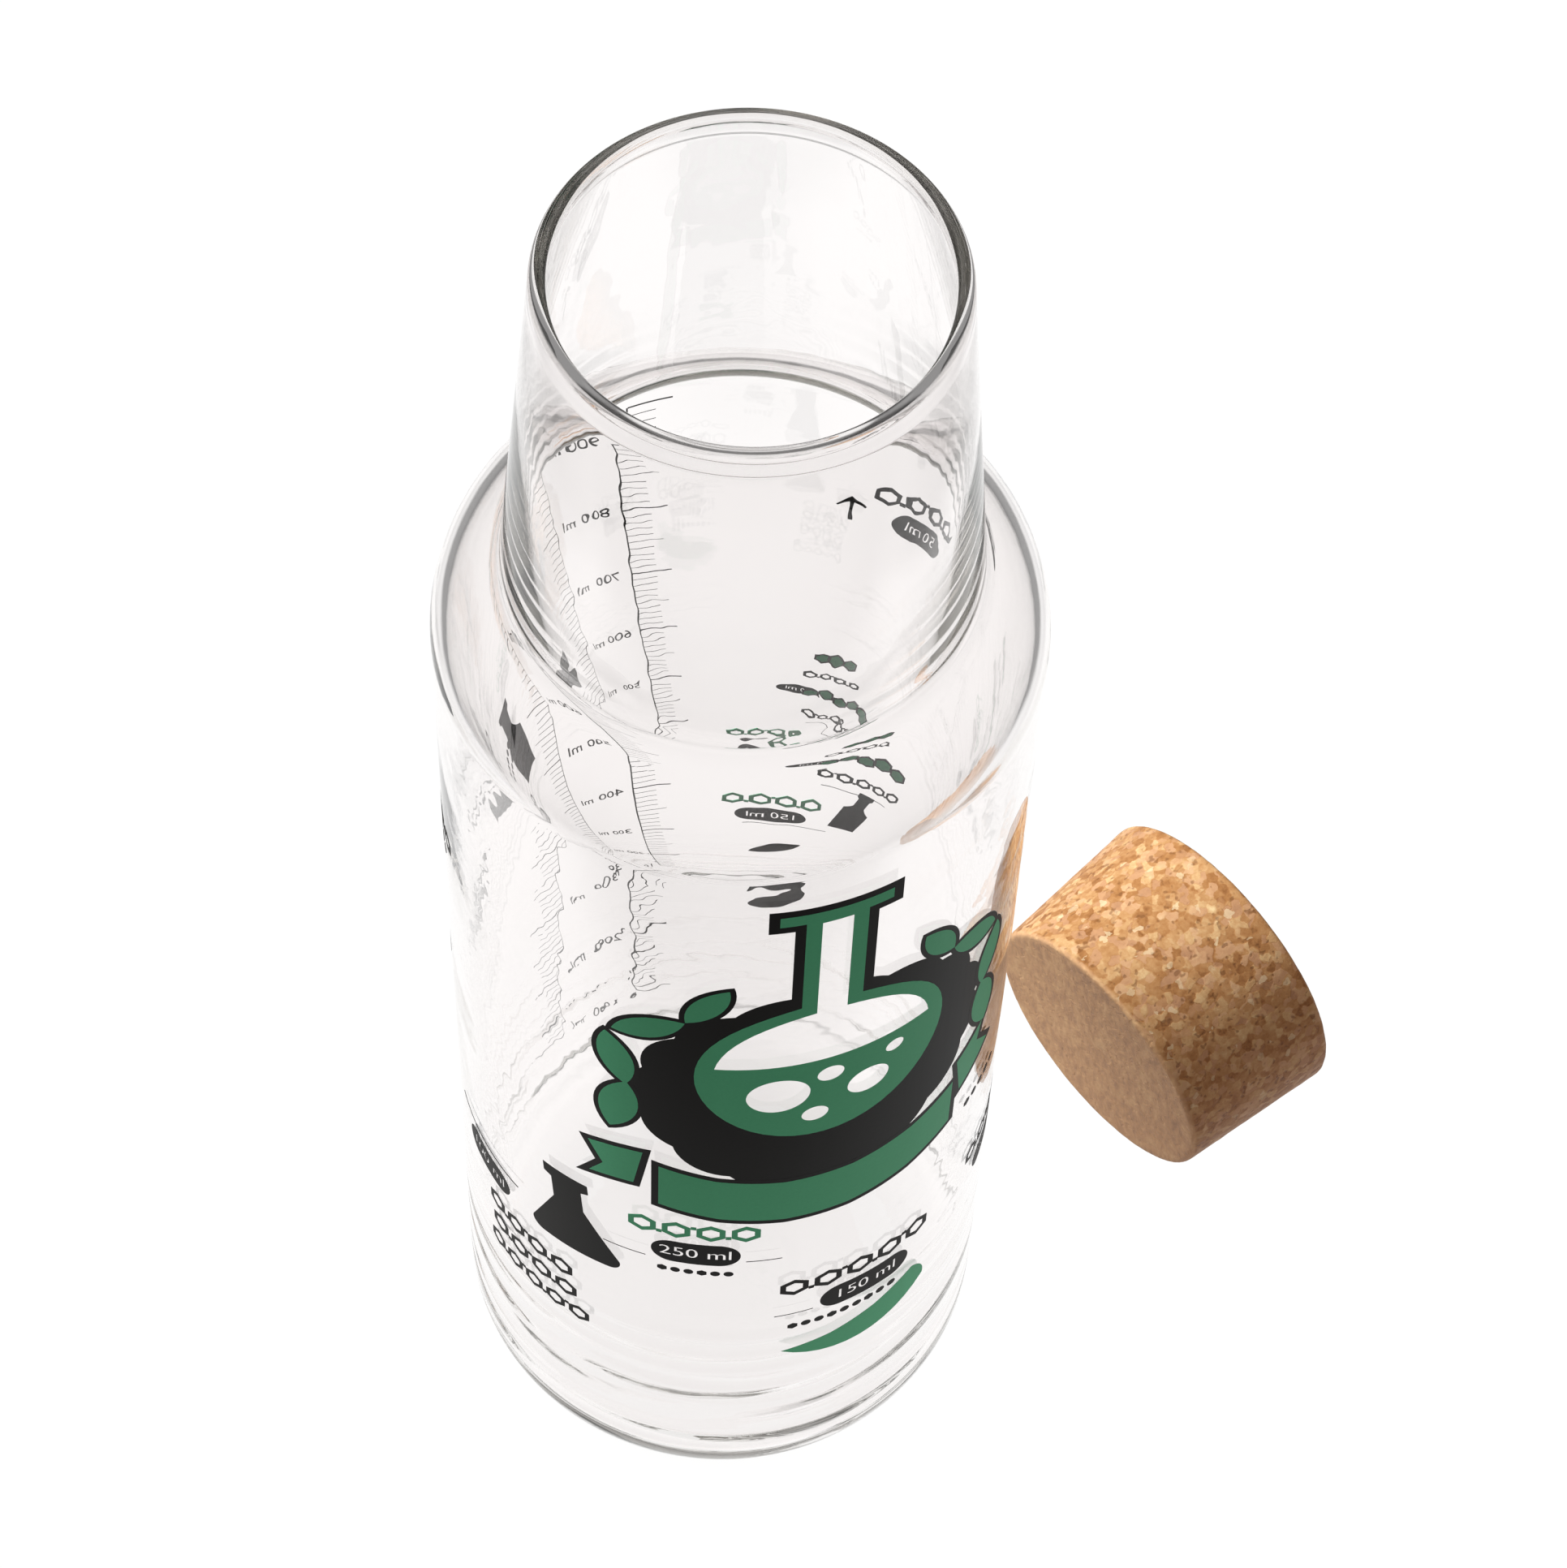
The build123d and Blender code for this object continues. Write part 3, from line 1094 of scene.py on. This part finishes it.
def repeated(angle, side, start, end, volume, step, thickness, depth):
    """A level mark beside an upright line, repeated down the measure every so many millilitres."""
    low, high = sorted((0, side * (end - start)))
    half = thickness / 2
    strokes = [(low, -half, 0), (high, -half, 0), (high, half, 0), (low, half, 0)]
    piece = flat("measure_mark", strokes, beside(angle, side * start), mark_height(volume))
    count = (volume - foot_volume) // step + 1
    modify(piece, "ARRAY", count=count, use_relative_offset=False, use_constant_offset=True,
           constant_offset_displace=(0, 0, -step * millilitre * mm))
    return thicken(piece, depth)


print("a millilitre is", round(millilitre, 4), "mm high")
print("the foot mark is at", round(mark_height(foot_volume), 1), "mm")

# %% [markdown]
# The line nearer to the middle of the back is the bolder one. The marks of both lines point away from
# the numbers. The mark of each half hundred is a little longer, and that of each hundred is the longest
# and boldest. Its number stands between the two lines, level with it.

# %% The measure
near_line = (-155.5, -1, 0.26)
far_line = (-135.0, 1, 0.13)
line_depth = 1.3 * black_depth
bold_depth = 1.15 * black_depth
short_mark = 4.4
half_mark = 5.9
long_mark = 6.9
thin = 0.1
bold = 0.51
number_size = 3.9
tall = mark_height(top_volume) - mark_height(foot_volume)
number_angle = (near_line[0] + far_line[0]) / 2
measure = []
for line, side, width in (near_line, far_line):
    upright = [(-width / 2, 0, 0), (width / 2, 0, 0), (width / 2, tall, 0), (-width / 2, tall, 0)]
    measure.append(thicken(flat("measure_line", upright, line, mark_height(foot_volume)), line_depth))
    edge = width / 2
    measure.append(repeated(line, side, edge, short_mark, top_volume, 10, thin, black_depth))
    measure.append(repeated(line, side, short_mark, half_mark, top_volume - 50, 100, thin, black_depth))
    measure.append(repeated(line, side, edge, long_mark, top_volume, 100, bold * width**0.5, bold_depth))
for volume in range(foot_volume, top_volume + 1, 100):
    measure.append(lettering(f"{volume} ml", number_angle, mark_height(volume), number_size, black_depth))
print("the measure has", len(measure), "parts")

# %% [markdown]
# Now each sheet goes round the glass. The shapes of one ink are joined and cut into narrow strips,
# because only a mesh with enough cuts across it can bend smoothly. The bend then rolls the sheet
# into a tube whose radius is the body's, and moving it by that radius puts it round the bottle's axis.

# %% Press the inks onto the glass
strip = 1.5 * mm
print_edge = radians(30)


def press_on(pieces, name):
    """Join flat shapes, cut them into strips, and bend them round the body."""
    bpy.ops.object.select_all(action="DESELECT")
    for piece in pieces:
        piece.select_set(True)
    sheet = pieces[0]
    bpy.context.view_layer.objects.active = sheet
    bpy.ops.object.join()
    bpy.ops.object.transform_apply(location=True, rotation=True, scale=True)
    sheet.name = name
    sheet.data.name = name
    left = min(vertex.co.x for vertex in sheet.data.vertices)
    right_end = max(vertex.co.x for vertex in sheet.data.vertices)
    bpy.ops.object.mode_set(mode="EDIT")
    for order in range(int((right_end - left) / strip)):
        bpy.ops.mesh.select_all(action="SELECT")
        bpy.ops.mesh.bisect(plane_co=(left + (order + 0.5) * strip, 0, 0), plane_no=(1, 0, 0))
    bpy.ops.object.mode_set(mode="OBJECT")
    roll = (right_end - left) / body_radius
    modify(sheet, "SIMPLE_DEFORM", deform_method="BEND", deform_axis="Z", angle=roll)
    bpy.ops.transform.translate(value=(0, -body_radius, 0))
    bpy.ops.object.transform_apply(location=True, rotation=True, scale=True)
    bpy.ops.object.shade_smooth_by_angle(angle=print_edge)
    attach(sheet, "bottle")
    print(name, "has", len(sheet.data.polygons), "faces")
    return sheet


black_print = press_on(black, "black_print")
green_print = press_on(green, "green_print")
measure_print = press_on(measure, "measure_print")

# %% [markdown]
# Fired ink is a thin enamel. It is dull next to the glass, and its tone is mottled a little, because
# it went through the mesh of a screen. The black is not quite black: a pure one would look like a hole.

# %% Two inks
fine_mottle = 1800
wide_mottle = 90
ink_bumps = 0.05 * mm


def fired_ink(name, dark, light):
    """Fired ink: a fine mottle between two close tones, and a dull gloss."""
    material = bpy.data.materials.new(name)
    board = Board(material)
    place = board.add("ShaderNodeTexCoord", output="Object")
    grains = board.noise(place, fine_mottle)
    clouds = board.noise(place, wide_mottle, 3)
    tone = board.blend(grains * 0.6 + clouds * 0.4, (*dark, 1), (*light, 1))
    skin = board.add("ShaderNodeBump", values={"Height": grains, "Strength": 0.1, "Distance": ink_bumps})
    shader = board.add("ShaderNodeBsdfPrincipled", values={
        "Base Color": tone,
        "Roughness": 0.42,
        "Specular IOR Level": 0.04,
        "Normal": skin,
    })
    board.add("ShaderNodeOutputMaterial", values={"Surface": shader})
    return material


black_ink = fired_ink("black_ink", (0.004, 0.003, 0.0022), (0.009, 0.007, 0.0052))
green_ink = fired_ink("green_ink", (0.115, 0.55, 0.27), (0.145, 0.65, 0.33))
black_print.data.materials.append(black_ink)
measure_print.data.materials.append(black_ink)
green_print.data.materials.append(green_ink)
print("each ink is made by", len(green_ink.node_tree.nodes), "nodes")
